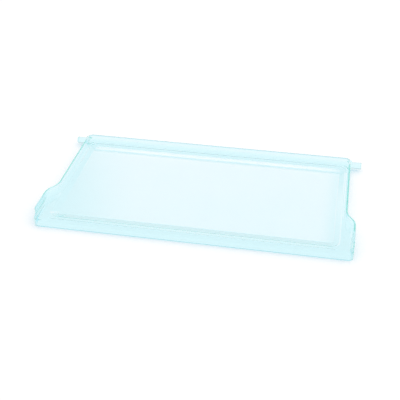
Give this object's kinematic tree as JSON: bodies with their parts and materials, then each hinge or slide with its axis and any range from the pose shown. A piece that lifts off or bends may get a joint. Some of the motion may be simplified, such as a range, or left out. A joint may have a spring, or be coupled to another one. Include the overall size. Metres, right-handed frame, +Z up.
{
  "type": "freezer shelf",
  "caption": "Clear blue-tinted moulded freezer shelf: shallow tray with a rim on three sides, a rolled front lip, wider front ears and round pivot pins at the back corners.",
  "frame": {"origin": "level with the foot of the front lip, in the middle of the width and the depth", "axes": "+X to the right along the pivot pins, +Y from the rolled front edge to the back rim, +Z up out of the tray"},
  "size_m": [0.428, 0.217, 0.0235],
  "materials": {
    "clear_moulding": "clear, glossy, pale aqua tint"
  },
  "bodies": {
    "root": {"freezer_shelf": "clear_moulding"}
  },
  "joints": []
}
